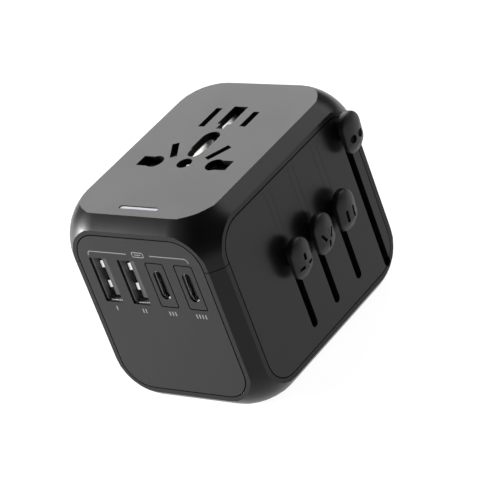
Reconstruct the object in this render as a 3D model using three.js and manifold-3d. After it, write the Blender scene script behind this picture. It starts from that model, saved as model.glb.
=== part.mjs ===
// Universal travel adapter: a socket for many kinds of plug on top, four sets of pins that are
// pushed out of the base by sliders on the right side, and four USB outlets on the front.
// Millimetres, +Z up. The origin is the middle of the base; +X is the slider side, -Y the USB side.
import * as THREE from 'three';
import { RoundedBoxGeometry } from 'three/addons/geometries/RoundedBoxGeometry.js';
import { mergeVertices } from 'three/addons/utils/BufferGeometryUtils.js';
import Module from 'manifold-3d';

const wasm = await Module();
wasm.setup();

// ---- driving dimensions -------------------------------------------------------------------
const HALF_X = 24.5;            // half the width of the housing
const HALF_Y = 33.4;            // half its depth
const HEIGHT = 55.8;
const MID_Z = HEIGHT / 2;
const ROUND_R = 15.8;           // radius of the big edge rounding, which the flat faces cut off
const ROUND_INSET = 12.6;       // how far inside each face the centre of that rounding lies
const SPLIT_Z = 42.8;           // joint between upper and lower casing
const GAP = 0.3;                // clearance between pieces
const WALL_SIDE = 3.4;          // side wall with its panel
const WALL_TOP = 1.8;
const WALL_BASE = 2.4;
const CAVITY_R = 4;

const PANEL_T = 1.3;            // the four cover panels
const PANEL_HALF_X = 19.75;     // of the front and back ones
const PANEL_HALF_Y = 28.6;      // of the left and right ones
const PANEL_HALF_Z = 23.2;
const PANEL_R = 7.5;

const PORT_Z = 37.7;            // centre of the USB outlets
const PORT_PITCH = 9.1;
const PORT_A_X = [-1.5 * PORT_PITCH, -0.5 * PORT_PITCH];
const PORT_C_X = [0.5 * PORT_PITCH, 1.5 * PORT_PITCH];
const PORT_A = { w: 5.6, h: 13.3 };     // opening in the panel
const PORT_C = { w: 5.8, h: 13.2, r: 0.7 };

const SLOT_W = 2.3;             // slider slots
const STEM_H = 5;
const KNOB = { w: 7.5, h: 11.5, back: 1.9, edge: 4, crown: 4.85 };
const KNOB_Z = 30.3;            // UK, AUS and US knobs at rest
const KNOB_EU_Z = 45.9;
const SLIDER_Y = { uk: -8.2, aus: 2.4, us: 13, eu: 24.8 };
const TRAVEL = 18.2;            // of the UK, AUS and US pins
const TRAVEL_EU = 38;           // the EU plug comes out with its body, for recessed sockets

const PIN_TIP_Z = 0.5;          // pins at rest end just inside the base
const CARRIER_Z = WALL_BASE + GAP + TRAVEL;    // underside of the carriers at rest
const CARRIER_TOP = CARRIER_Z + 8;
const HEAD_TOP = 33.6;          // top of a carrier's head, which takes the knob's stem
const HEAD_X = 20.2;
const UK_PIN = { x: 11.1, y: -8.5, w: 6.35, d: 4 };
const UK_EARTH = { y: 13.65, w: 4, d: 8 };
const AUS_PIN = { x: 6.86, y: 2.2, w: 1.6, d: 6.35, tilt: Math.PI / 6 };
const US_PIN = { x: 6.35, y: 16.3, w: 1.5, d: 6.35 };
const EU_PIN = { x: 9.5, y: 25.6, r: 2.4, tip: 0.6, length: 19 };
const EU_BLOCK = { w: 27, d: 8, top: 50.5 };

const SCREWS = [[19.2, -22.5], [-19.2, -22.5], [19.2, 18.8], [-19.2, 18.8]];

// ---- materials ----------------------------------------------------------------------------
function plastic(color, roughness = 0.55) {
  return new THREE.MeshStandardMaterial({ color, roughness, metalness: 0 });
}

function metal(color, roughness = 0.3) {
  return new THREE.MeshStandardMaterial({ color, roughness, metalness: 1 });
}

const CASING = 0x2d2d2e;
const PANEL = 0x343435;
const KNOB_GREY = 0x3a3a3b;
const BLACK = 0x161617;
const NICKEL = 0xc9c7c0;
const BRASS = 0xc9a55a;
const STEEL = 0xbfc2c6;
const BOARD_GREEN = 0x1f5a3a;

// ---- shapes and solids --------------------------------------------------------------------
// A closed geometry as a solid that can be joined and cut.
function solid(geometry) {
  const bare = geometry.clone();
  bare.deleteAttribute('normal');
  bare.deleteAttribute('uv');
  const g = mergeVertices(bare, 1e-5);
  return new wasm.Manifold(new wasm.Mesh({
    numProp: 3,
    vertProperties: new Float32Array(g.attributes.position.array),
    triVerts: new Uint32Array(g.index.array),
  }));
}

// A solid back as a geometry.
function geometryOf(body) {
  const m = body.getMesh();
  const g = new THREE.BufferGeometry();
  g.setAttribute('position', new THREE.BufferAttribute(new Float32Array(m.vertProperties), 3));
  g.setIndex(new THREE.BufferAttribute(new Uint32Array(m.triVerts), 1));
  return g;
}

function box(x0, x1, y0, y1, z0, z1) {
  const g = new THREE.BoxGeometry(x1 - x0, y1 - y0, z1 - z0);
  g.translate((x0 + x1) / 2, (y0 + y1) / 2, (z0 + z1) / 2);
  return solid(g);
}

// A box given for the +X side, or its mirror image when side is -1.
function sidedBox(side, x0, x1, ...rest) {
  return box(Math.min(side * x0, side * x1), Math.max(side * x0, side * x1), ...rest);
}

function rectangle(w, h, r = 0, cx = 0, cy = 0) {
  const s = new THREE.Shape();
  const [x0, x1, y0, y1] = [cx - w / 2, cx + w / 2, cy - h / 2, cy + h / 2];
  if (r === 0) {
    s.moveTo(x0, y0);
    s.lineTo(x1, y0);
    s.lineTo(x1, y1);
    s.lineTo(x0, y1);
    s.closePath();
    return s;
  }
  s.absarc(x1 - r, y0 + r, r, -Math.PI / 2, 0);
  s.absarc(x1 - r, y1 - r, r, 0, Math.PI / 2);
  s.absarc(x0 + r, y1 - r, r, Math.PI / 2, Math.PI);
  s.absarc(x0 + r, y0 + r, r, Math.PI, 1.5 * Math.PI);
  s.closePath();
  return s;
}

// A bar with full round ends.
function pill(w, h, cx = 0, cy = 0) {
  const s = new THREE.Shape();
  if (h > w) {
    s.absarc(cx, cy + (h - w) / 2, w / 2, 0, Math.PI);
    s.absarc(cx, cy - (h - w) / 2, w / 2, Math.PI, 2 * Math.PI);
  } else {
    s.absarc(cx + (w - h) / 2, cy, h / 2, -Math.PI / 2, Math.PI / 2);
    s.absarc(cx - (w - h) / 2, cy, h / 2, Math.PI / 2, 1.5 * Math.PI);
  }
  s.closePath();
  return s;
}

function circle(r, cx = 0, cy = 0) {
  const s = new THREE.Shape();
  s.absarc(cx, cy, r, 0, 2 * Math.PI);
  return s;
}

// Extrusions of a shape: drawn in XY along Z, drawn in XZ along Y, drawn in YZ along X.
function alongZ(shape, z0, z1, curveSegments = 6) {
  const g = new THREE.ExtrudeGeometry(shape, { depth: z1 - z0, bevelEnabled: false, curveSegments });
  g.translate(0, 0, z0);
  return g;
}

function alongY(shape, y0, y1, curveSegments = 6) {
  const g = new THREE.ExtrudeGeometry(shape, { depth: y1 - y0, bevelEnabled: false, curveSegments });
  g.rotateX(Math.PI / 2);
  g.translate(0, y1, 0);
  return g;
}

function alongX(shape, x0, x1, curveSegments = 6) {
  const g = new THREE.ExtrudeGeometry(shape, { depth: x1 - x0, bevelEnabled: false, curveSegments });
  g.applyMatrix4(new THREE.Matrix4().makeBasis(
    new THREE.Vector3(0, 1, 0), new THREE.Vector3(0, 0, 1), new THREE.Vector3(1, 0, 0)));
  g.translate(x0, 0, 0);
  return g;
}

function cylinder(r, z0, z1, x, y, segments = 16) {
  const g = new THREE.CylinderGeometry(r, r, z1 - z0, segments);
  g.rotateX(Math.PI / 2);
  g.translate(x, y, (z0 + z1) / 2);
  return solid(g);
}

// An extrusion with holes right through it.
function pierced(extrude, outer, holes, from, to) {
  const body = solid(extrude(outer, from, to));
  return holes.reduce((left, hole) => left.subtract(solid(extrude(hole, from - 1, to + 1))), body);
}

function rotated(shapeGeometry, angle, x, y) {
  shapeGeometry.rotateZ(angle);
  shapeGeometry.translate(x, y, 0);
  return solid(shapeGeometry);
}

const adapter = new THREE.Group();

function place(name, body, material) {
  const geometry = geometryOf(body.isBufferGeometry ? solid(body) : body);
  geometry.computeVertexNormals();
  const mesh = new THREE.Mesh(geometry, material);
  mesh.name = name;
  adapter.add(mesh);
}

// ---- housing ------------------------------------------------------------------------------
// The outside: a box with very large roundings whose six faces are cut off flat.
function housingOutside() {
  const proud = 2 * (ROUND_R - ROUND_INSET);
  const g = new RoundedBoxGeometry(2 * HALF_X + proud, 2 * HALF_Y + proud, HEIGHT + proud, 5, ROUND_R);
  g.translate(0, 0, MID_Z);
  return solid(g).intersect(box(-HALF_X, HALF_X, -HALF_Y, HALF_Y, 0, HEIGHT));
}

function housingCavity() {
  const [z0, z1] = [WALL_BASE, HEIGHT - WALL_TOP];
  const [wide, deep] = [2 * (HALF_X - WALL_SIDE), 2 * (HALF_Y - WALL_SIDE)];
  const g = new RoundedBoxGeometry(wide, deep, z1 - z0, 2, CAVITY_R);
  g.translate(0, 0, (z0 + z1) / 2);
  return solid(g);
}

const PANEL_RECESS = PANEL_T + GAP;

function panelShape(halfWidth, grow = 0) {
  return rectangle(2 * (halfWidth + grow), 2 * (PANEL_HALF_Z + grow), PANEL_R + grow, 0, MID_Z);
}

// The shallow pockets in the four sides that the cover panels sit in.
function panelRecesses() {
  const front = solid(alongY(panelShape(PANEL_HALF_X, GAP), -HALF_Y - 1, -HALF_Y + PANEL_RECESS));
  const back = solid(alongY(panelShape(PANEL_HALF_X, GAP), HALF_Y - PANEL_RECESS, HALF_Y + 1));
  const right = solid(alongX(panelShape(PANEL_HALF_Y, GAP), HALF_X - PANEL_RECESS, HALF_X + 1));
  const left = solid(alongX(panelShape(PANEL_HALF_Y, GAP), -HALF_X - 1, -HALF_X + PANEL_RECESS));
  return front.add(back).add(right).add(left);
}

// Slot of each slider, from the top of its stem at rest to the bottom of its travel.
function sliderSlot(name, grow = 0) {
  const knobZ = name === 'eu' ? KNOB_EU_Z : KNOB_Z;
  const travel = name === 'eu' ? TRAVEL_EU : TRAVEL;
  const top = knobZ + STEM_H / 2 + GAP + grow;
  const bottom = knobZ - travel - STEM_H / 2 - 0.4 - grow;
  return pill(SLOT_W + 2 * grow, top - bottom, SLIDER_Y[name], (top + bottom) / 2);
}

function sliderSlots() {
  return Object.keys(SLIDER_Y)
    .map((name) => solid(alongX(sliderSlot(name, 0.25), HALF_X - WALL_SIDE - 2, HALF_X + 1)))
    .reduce((all, one) => all.add(one));
}

function portWindows() {
  const a = PORT_A_X.map((x) => rectangle(6.5, 13.9, 0, x, PORT_Z));
  const c = PORT_C_X.map((x) => rectangle(PORT_C.w, PORT_C.h, PORT_C.r, x, PORT_Z));
  return [...a, ...c]
    .map((s) => solid(alongY(s, -HALF_Y - 1, -HALF_Y + WALL_SIDE + 2)))
    .reduce((all, one) => all.add(one));
}

// Openings of the universal socket: plan shapes, earth side towards +Y.
const SOCKET_Y = -6.8;          // the row of round and flat-pin holes
function earthKey() {
  const s = new THREE.Shape();
  const [wide, narrow] = [2.6, 2.1];
  s.absarc(0, 5, wide, 0, Math.PI);
  s.lineTo(-wide, -0.4);
  s.lineTo(-narrow, -0.9);
  s.absarc(0, -1.8, narrow, Math.PI, 2 * Math.PI);
  s.lineTo(narrow, -0.9);
  s.lineTo(wide, -0.4);
  s.closePath();
  return s;
}

function earthSlot() {
  const s = new THREE.Shape();
  const [wide, tail] = [2.2, 1.1];
  s.moveTo(-tail, 9);
  s.lineTo(tail, 9);
  s.lineTo(tail, 11.2);
  s.lineTo(wide, 11.2);
  s.lineTo(wide, 19.35);
  s.lineTo(-wide, 19.35);
  s.lineTo(-wide, 11.2);
  s.lineTo(-tail, 11.2);
  s.closePath();
  return s;
}

function socketOpenings() {
  const [z0, z1] = [HEIGHT - 8, HEIGHT + 1];
  const bodies = [
    solid(alongZ(earthSlot(), z0, z1)),
    solid(alongZ(earthKey(), z0, z1)),
    solid(alongZ(circle(2.1, 0, SOCKET_Y), z0, z1)),
    solid(alongZ(rectangle(1.9, 8.6, 0, -6.35, 13.9), z0, z1)),
    solid(alongZ(rectangle(1.9, 6.7, 0, 6.35, 13.9), z0, z1)),
  ];
  for (const side of [-1, 1]) {
    bodies.push(rotated(alongZ(rectangle(1.8, 6.7), z0, z1), -side * AUS_PIN.tilt, side * 7.05, -1.45));
    bodies.push(solid(alongZ(circle(2.55, side * 9.6, SOCKET_Y), z0, z1)));
    bodies.push(solid(alongZ(rectangle(4.8, 4.15, 0, side * 12, SOCKET_Y), z0, z1)));
  }
  return bodies.reduce((all, one) => all.add(one));
}

const LIGHT = { w: 12.3, h: 1.3, y: -26.8 };
const BOSS_R = 2.2;             // screw bosses
const BOSS_BORE_R = 1.2;

// Everything of a body between two heights.
function between(body, z0, z1) {
  const reach = HALF_Y + 5;
  return body.intersect(box(-reach, reach, -reach, reach, z0, z1));
}

// The post under the socket face that a shutter's spring pushes against.
function springPost(side) {
  return sidedBox(side, 6.4, 9.8, -22, -21.15, SPRING.z - 1.7, HEIGHT - 1);
}

function upperCasing() {
  let body = housingOutside().subtract(housingCavity()).add(springPost(-1)).add(springPost(1));
  for (const [x, y] of SCREWS) {
    body = body
      .add(cylinder(BOSS_R, SPLIT_Z, HEIGHT - 1, x, y, 12))
      .subtract(cylinder(BOSS_BORE_R, SPLIT_Z - 1, 52, x, y, 12));
  }
  return between(body, SPLIT_Z + GAP / 2, HEIGHT + 1)
    .subtract(panelRecesses())
    .subtract(sliderSlots())
    .subtract(portWindows())
    .subtract(socketOpenings())
    .subtract(solid(alongZ(pill(LIGHT.w + 0.5, LIGHT.h + 0.5, 0, LIGHT.y), HEIGHT - 5, HEIGHT + 1)));
}

// Openings in the base that the pins come out of.
function baseOpenings() {
  const [z0, z1] = [-1, 9];
  const clear = 2 * GAP;
  const bodies = [
    solid(alongZ(rectangle(UK_EARTH.w + clear, UK_EARTH.d + clear, 0, 0, UK_EARTH.y), z0, z1)),
    solid(alongZ(pill(EU_BLOCK.w + clear, EU_BLOCK.d + clear, 0, EU_PIN.y), z0, z1)),
  ];
  for (const side of [-1, 1]) {
    const uk = rectangle(UK_PIN.w + clear, UK_PIN.d + clear, 0, side * UK_PIN.x, UK_PIN.y);
    const us = rectangle(US_PIN.w + clear, US_PIN.d + clear, 0, side * US_PIN.x, US_PIN.y);
    const aus = rectangle(AUS_PIN.w + clear, AUS_PIN.d + clear);
    bodies.push(solid(alongZ(uk, z0, z1)));
    bodies.push(solid(alongZ(us, z0, z1)));
    bodies.push(rotated(alongZ(aus, z0, z1), -side * AUS_PIN.tilt, side * AUS_PIN.x, AUS_PIN.y));
  }
  return bodies.reduce((all, one) => all.add(one));
}

function lowerCasing() {
  let body = housingOutside().subtract(housingCavity());
  for (const [x, y] of SCREWS) {
    body = body
      .add(cylinder(BOSS_R, 1, SPLIT_Z, x, y, 12))
      .subtract(cylinder(BOSS_BORE_R, -1, SPLIT_Z + 1, x, y, 12))
      .subtract(cylinder(2, -1, 4.2, x, y));
  }
  return between(body, -1, SPLIT_Z - GAP / 2)
    .subtract(panelRecesses())
    .subtract(sliderSlots())
    .subtract(portWindows())
    .subtract(baseOpenings());
}

function usbPanel() {
  const outline = panelShape(PANEL_HALF_X);
  const holes = [
    ...PORT_A_X.map((x) => rectangle(PORT_A.w, PORT_A.h, 0, x, PORT_Z)),
    ...PORT_C_X.map((x) => rectangle(PORT_C.w, PORT_C.h, PORT_C.r, x, PORT_Z)),
  ];
  return pierced(alongY, outline, holes, -HALF_Y, -HALF_Y + PANEL_T);
}

function sliderPanel() {
  const [x0, x1] = [HALF_X - PANEL_T, HALF_X];
  const plate = solid(alongX(panelShape(PANEL_HALF_Y), x0, x1));
  return Object.keys(SLIDER_Y)
    .map((name) => solid(alongX(sliderSlot(name), x0 - 1, x1 + 1)))
    .reduce((body, slot) => body.subtract(slot), plate);
}

// Countersunk self-tapping screw, put in from below.
function casingScrew(x, y) {
  const [head, shank, tip] = [1.7, 0.9, 0.3];
  const [low, neck, top] = [1.9, 3.9, 50.5];
  const taper = top - 2;
  const profile = [[0, low], [head, low], [head, neck], [shank, neck], [shank, taper], [tip, top], [0, top]];
  const points = profile.map(([r, z]) => new THREE.Vector2(r, z));
  const g = new THREE.LatheGeometry(points, 12);
  g.rotateX(Math.PI / 2);
  g.translate(x, y, 0);
  return solid(g);
}

// Light guide: a bar in the socket face on a wider foot that holds it in from below.
function lightBar() {
  const bar = solid(alongZ(pill(LIGHT.w, LIGHT.h, 0, LIGHT.y), 52.5, HEIGHT - 0.05));
  return bar.add(box(-6.8, 6.8, LIGHT.y - 1.2, LIGHT.y + 1.2, 51.4, 53.1));
}

// ---- socket contacts ----------------------------------------------------------------------
const TRAY_Z = 34.5;
const TRAY_T = 1.8;
const RIB_TOP = 50;
const STRIP_Z = 37;             // base of the contact strips
const SHEET = 0.6;
const LEAF_TOP = 51.4;

// Moulded tray between the socket and the pin carriers, with two insulating ribs.
function contactTray() {
  return box(-20.6, 20.6, -13.8, 16, TRAY_Z, TRAY_Z + TRAY_T)
    .add(box(-16.5, 16.5, 15, 20.4, TRAY_Z, TRAY_Z + TRAY_T))
    .add(sidedBox(-1, 3.9, 4.7, -4, 20, TRAY_Z + 1, RIB_TOP))
    .add(sidedBox(1, 3.9, 4.7, -4, 20, TRAY_Z + 1, RIB_TOP));
}

// Sprung strip that serves one pole of every plug: a base with leaves beside each opening.
function poleContact(side) {
  const strip = (...bounds) => sidedBox(side, ...bounds);
  return strip(5.2, 14.6, -10.6, 18.6, STRIP_Z, STRIP_Z + SHEET)
    .add(strip(7.9, 7.9 + SHEET, 9.6, 18.2, STRIP_Z, LEAF_TOP))
    .add(strip(8, 14.2, -10.6, -10, STRIP_Z, LEAF_TOP))
    .add(strip(10, 10 + SHEET, -2.6, 1.4, STRIP_Z, LEAF_TOP))
    .add(strip(14, 14.6, -8.6, -5, STRIP_Z, LEAF_TOP));
}

function earthContact() {
  const top = HEIGHT - WALL_TOP - 0.35;
  let body = box(-3, 3, -4, 19, STRIP_Z, STRIP_Z + SHEET);
  for (const side of [-1, 1]) {
    body = body
      .add(box(side * 2.8 - 0.2, side * 2.8 + 0.2, -4, 7.4, STRIP_Z, top))
      .add(box(side * 2.6 - 0.2, side * 2.6 + 0.2, 9.4, 19, STRIP_Z, top));
  }
  return body;
}

// Rails that take the current down to the pins.
const RAIL = { low: 8, top: TRAY_Z - GAP };

// ---- safety shutters ----------------------------------------------------------------------
// One plate over the openings of each pole. Pushed aside, it slides inwards and forwards by
// SHIFT, and its cut-outs, which lie that far from the openings, come under them.
const SHIFT = { x: 2.4, y: 5 };
const SHUTTER = { low: 51.8, top: 53.4, inner: 5.6, outer: 16.4, front: -12.2, back: 24.1 };
const LUG = { x: 12, low: 49.2 };
const SPRING = { z: 50.5, r: 1.1, wire: 0.25, turns: 5, length: 8.2 };

function shutter(side) {
  const { low, top, inner, outer, front, back } = SHUTTER;
  const cut = (shape, x, y, angle = 0) =>
    rotated(alongZ(shape, low - 1, top + 1), angle, side * (x + SHIFT.x), y + SHIFT.y);
  return sidedBox(side, inner, outer, front, back, low, top)
    .add(sidedBox(side, LUG.x - 1, LUG.x + 1, front, front + 0.9, LUG.low, low + 0.5))
    .subtract(cut(rectangle(2.1, side > 0 ? 7 : 8.9), 6.35, 13.9))
    .subtract(cut(rectangle(2, 6.9), 7.05, -1.45, -side * AUS_PIN.tilt))
    .subtract(cut(circle(2.65), 9.6, SOCKET_Y))
    .subtract(cut(rectangle(6, 4.4), 12.6, SOCKET_Y));
}

// Compression spring between a shutter's lug and a post under the socket face.
function shutterSpring(side) {
  const travel = Math.hypot(SHIFT.x, SHIFT.y);
  const along = new THREE.Vector3(-side * SHIFT.x / travel, -SHIFT.y / travel, 0);
  const across = new THREE.Vector3(along.y, -along.x, 0);
  const start = new THREE.Vector3(side * LUG.x, SHUTTER.front - 0.8, SPRING.z);
  class Helix extends THREE.Curve {
    getPoint(t) {
      const a = 2 * Math.PI * SPRING.turns * t;
      const run = SPRING.wire + (SPRING.length - 2 * SPRING.wire) * t;
      const point = start.clone().addScaledVector(along, run);
      point.addScaledVector(across, SPRING.r * Math.cos(a));
      point.z += SPRING.r * Math.sin(a);
      return point;
    }
  }
  return new THREE.ExtrudeGeometry(circle(SPRING.wire), {
    steps: 8 * SPRING.turns, extrudePath: new Helix(), curveSegments: 3, bevelEnabled: false,
  });
}

// ---- USB supply ---------------------------------------------------------------------------
const SHELL_FRONT = -HALF_Y + PANEL_RECESS;
const BOARD_Y = -17.2;

function usbAShell(x) {
  const [outer, inner] = [rectangle(5.9, 13.3, 0, x, PORT_Z), rectangle(5.1, 12.5, 0, x, PORT_Z)];
  return pierced(alongY, outer, [inner], SHELL_FRONT, BOARD_Y - GAP);
}

function usbATongue(x) {
  const block = box(x - 2.25, x + 2.25, -22, BOARD_Y - GAP, PORT_Z - 5.95, PORT_Z + 5.95);
  return block.add(box(x + 0.05, x + 1.89, SHELL_FRONT + GAP, -21, PORT_Z - 5.55, PORT_Z + 5.55));
}

function usbCBezel(x) {
  const gap = 2 * GAP;
  const face = rectangle(PORT_C.w - gap, PORT_C.h - gap, 0.5, x, PORT_Z);
  return pierced(alongY, face, [pill(3.6, 9.3, x, PORT_Z)], -HALF_Y, -31.4);
}

function usbCShell(x) {
  return pierced(alongY, pill(3, 8.7, x, PORT_Z), [pill(2.4, 8.1, x, PORT_Z)], -33, BOARD_Y - GAP);
}

function usbCTongue(x) {
  const block = solid(alongY(pill(1.8, 7.5, x, PORT_Z), -24, BOARD_Y - GAP));
  return block.add(box(x - 0.35, x + 0.35, -32.2, -23.5, PORT_Z - 3.3, PORT_Z + 3.3));
}

const TRANSFORMER = { x: -7, y: -23.6, z: 14.5 };

function transformerCore() {
  const { x, y, z } = TRANSFORMER;
  const windows = [-4.1, 4.1].map((shift) => rectangle(3.8, 9.4, 0, x + shift, z));
  return pierced(alongY, rectangle(16, 13, 0, x, z), windows, y - 2.5, y + 2.5);
}

function transformerWinding() {
  const { x, y, z } = TRANSFORMER;
  return pierced(alongZ, rectangle(11.2, 10.6, 2, x, y), [rectangle(5, 5.6, 0, x, y)], z - 4.3, z + 4.3);
}

function capacitor(r, length, x, z) {
  const edge = 0.5;
  const points = [[0, 0], [r, 0], [r, length - edge], [r - edge, length], [0, length]]
    .map(([radius, h]) => new THREE.Vector2(radius, h));
  const g = new THREE.LatheGeometry(points, 16);
  g.rotateX(Math.PI);
  g.translate(x, BOARD_Y - GAP, z);
  return solid(g);
}

const FUSE = { x0: -16, x1: 4, y: -24, z: 27.6, r: 2.5 };

function fuse() {
  return alongX(circle(FUSE.r, FUSE.y, FUSE.z), FUSE.x0, FUSE.x1, 8);
}

function fuseClip(x) {
  const reach = 2.8;
  const [y0, y1] = [FUSE.y - 3, BOARD_Y - GAP];
  return box(x - 2, x + 2, y0, y1, FUSE.z - reach - 0.4, FUSE.z + reach + 0.4)
    .subtract(box(x - 3, x + 3, y0 - 1, y1 - 0.4, FUSE.z - reach, FUSE.z + reach));
}

// ---- sliders and pins ---------------------------------------------------------------------
// A knob: a crowned pill-shaped cap on a stem that reaches through the slot into its carrier.
function knob(y, z) {
  const cap = solid(alongX(pill(KNOB.w, KNOB.h, y, z), HALF_X + KNOB.back, HALF_X + KNOB.crown + 1, 8));
  const depth = 6;
  const spread = 1 / Math.sqrt(1 - (1 - (KNOB.crown - KNOB.edge) / depth) ** 2);
  const dome = new THREE.SphereGeometry(1, 28, 18);
  dome.rotateZ(Math.PI / 2);
  dome.scale(depth, spread * KNOB.w / 2, spread * KNOB.h / 2);
  dome.translate(HALF_X + KNOB.crown - depth, y, z);
  const stem = solid(alongX(pill(SLOT_W - 2 * GAP, STEM_H, y, z), HEAD_X - 2.6, HALF_X + KNOB.back + 1));
  return cap.intersect(solid(dome)).add(stem);
}

// The raised end of a carrier, with the pocket for the knob's stem.
function carrierHead(y, halfWidth) {
  return box(12, HEAD_X, y - halfWidth, y + halfWidth, 25, HEAD_TOP);
}

function stemPocket(y, z) {
  const [wide, high] = [SLOT_W / 2, STEM_H / 2 + GAP];
  return box(HEAD_X - 3, HEAD_X + 1, y - wide, y + wide, z - high, z + high);
}

function pinPocket(pin, side) {
  const clear = 2 * GAP;
  const g = alongZ(rectangle(pin.w + clear, pin.d + clear), CARRIER_Z - 1, HEAD_TOP + 1);
  return rotated(g, -side * (pin.tilt || 0), side * (pin.x || 0), pin.y);
}

function flatPin(pin, side, top = CARRIER_TOP + 0.8) {
  const g = alongZ(rectangle(pin.w, pin.d), PIN_TIP_Z + 1, top);
  const nose = alongZ(rectangle(pin.w - 0.6, pin.d - 0.6), PIN_TIP_Z, top - 1);
  const turn = -side * (pin.tilt || 0) * 180 / Math.PI;
  return solid(g).add(solid(nose)).rotate([0, 0, turn]).translate([side * (pin.x || 0), pin.y, 0]);
}

// The UK carrier runs round the west side of the AUS set to reach its earth pin.
function ukCarrier() {
  return box(-16.8, 16.8, -12, -5, CARRIER_Z, CARRIER_TOP)
    .add(carrierHead(UK_PIN.y, 3.5))
    .add(box(-19.2, -16.2, -12, 11.6, 23.5, 28.5))
    .add(box(-19.2, 2, 8.4, 11.6, 23.5, 28.5))
    .add(box(-3.1, 3.1, 8.4, 18.4, CARRIER_Z, CARRIER_TOP))
    .subtract(pinPocket(UK_PIN, -1))
    .subtract(pinPocket(UK_PIN, 1))
    .subtract(pinPocket(UK_EARTH, 1))
    .subtract(stemPocket(SLIDER_Y.uk, KNOB_Z));
}

function ausCarrier() {
  return box(-10.8, 16.8, -2.8, 6.8, CARRIER_Z, CARRIER_TOP)
    .add(carrierHead(SLIDER_Y.aus, 2.4))
    .subtract(pinPocket(AUS_PIN, -1))
    .subtract(pinPocket(AUS_PIN, 1))
    .subtract(stemPocket(SLIDER_Y.aus, KNOB_Z));
}

// The US carrier bridges behind the UK earth pin.
function usCarrier() {
  return box(-8.4, 8.4, 18.9, 21.1, CARRIER_Z, CARRIER_TOP)
    .add(box(-8.4, -4.4, 12.2, 21, CARRIER_Z, CARRIER_TOP))
    .add(box(4.4, 8.4, 12.2, 21, CARRIER_Z, CARRIER_TOP))
    .add(box(8, 16.8, 12.2, 15, CARRIER_Z, CARRIER_TOP))
    .add(carrierHead(SLIDER_Y.us, 2))
    .subtract(pinPocket(US_PIN, -1))
    .subtract(pinPocket(US_PIN, 1))
    .subtract(stemPocket(SLIDER_Y.us, KNOB_Z));
}

const EU_BLOCK_Z = EU_PIN.tip + EU_PIN.length;

// The EU plug's body slides as a whole; its pins are set into it from below.
function euPlugBody() {
  const body = solid(alongZ(pill(EU_BLOCK.w, EU_BLOCK.d, 0, EU_PIN.y), EU_BLOCK_Z, EU_BLOCK.top))
    .add(box(10, HEAD_X, 22.6, 27.4, 42.4, EU_BLOCK.top))
    .subtract(stemPocket(SLIDER_Y.eu, KNOB_EU_Z));
  return [-1, 1]
    .map((side) => cylinder(EU_PIN.r + GAP, EU_BLOCK_Z - 1, EU_BLOCK_Z + 9, side * EU_PIN.x, EU_PIN.y))
    .reduce((left, bore) => left.subtract(bore), body);
}

function roundPin(side) {
  const points = [[0, 0], [1.2, 0], [EU_PIN.r, 1.4], [EU_PIN.r, EU_PIN.length + 8], [0, EU_PIN.length + 8]]
    .map(([r, h]) => new THREE.Vector2(r, h));
  const g = new THREE.LatheGeometry(points, 20);
  g.rotateX(Math.PI / 2);
  g.translate(side * EU_PIN.x, EU_PIN.y, EU_PIN.tip);
  return solid(g);
}

// ---- assembly -----------------------------------------------------------------------------
place('upper_casing', upperCasing(), plastic(CASING));
place('lower_casing', lowerCasing(), plastic(CASING));
place('usb_panel', usbPanel(), plastic(PANEL));
place('slider_panel', sliderPanel(), plastic(PANEL));
place('back_panel', alongY(panelShape(PANEL_HALF_X), HALF_Y - PANEL_T, HALF_Y), plastic(PANEL));
place('left_panel', alongX(panelShape(PANEL_HALF_Y), -HALF_X, -HALF_X + PANEL_T), plastic(PANEL));
place('light_bar', lightBar(), plastic(0xdcdcea, 0.2));
place('led_board', box(-7, 7, LIGHT.y - 2.4, LIGHT.y + 2.4, 50, 51), plastic(BOARD_GREEN));
SCREWS.forEach(([x, y], i) => place(`casing_screw_${i + 1}`, casingScrew(x, y), metal(STEEL)));

place('contact_tray', contactTray(), plastic(0xd8d5cc));
place('live_contact', poleContact(1), metal(BRASS));
place('neutral_contact', poleContact(-1), metal(BRASS));
place('earth_contact', earthContact(), metal(NICKEL));
place('live_rail', box(9.4, 17.6, 8.7, 8.7 + SHEET, RAIL.low, RAIL.top), metal(BRASS));
place('neutral_rail', box(-13.1, -13.1 + SHEET, -3.4, 7.2, RAIL.low, RAIL.top), metal(BRASS));
for (const [name, side] of [['live', 1], ['neutral', -1]]) {
  place(`${name}_shutter`, shutter(side), plastic(0x6a6a6a));
  place(`${name}_shutter_spring`, shutterSpring(side), metal(STEEL));
}

place('usb_board', box(-19, 19, BOARD_Y, BOARD_Y + 1.6, 6, 47.5), plastic(BOARD_GREEN));
PORT_A_X.forEach((x, i) => {
  place(`usb_a_shell_${i + 1}`, usbAShell(x), metal(STEEL));
  place(`usb_a_tongue_${i + 1}`, usbATongue(x), plastic(PANEL));
});
PORT_C_X.forEach((x, i) => {
  place(`usb_c_bezel_${i + 1}`, usbCBezel(x), plastic(PANEL));
  place(`usb_c_shell_${i + 1}`, usbCShell(x), metal(STEEL));
  place(`usb_c_tongue_${i + 1}`, usbCTongue(x), plastic(BLACK));
});
place('transformer_core', transformerCore(), plastic(0x2a2a2c, 0.7));
place('transformer_winding', transformerWinding(), plastic(0xd9b13a, 0.4));
place('mains_capacitor', capacitor(5, 11, 11, 13), plastic(0x20242c, 0.4));
place('output_capacitor', capacitor(3.15, 9, 12, 24), plastic(0x20242c, 0.4));
place('fuse', fuse(), plastic(0xe6e2d6, 0.35));
place('fuse_clip_left', fuseClip(FUSE.x0 + 3), metal(STEEL));
place('fuse_clip_right', fuseClip(FUSE.x1 - 3), metal(STEEL));

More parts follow.
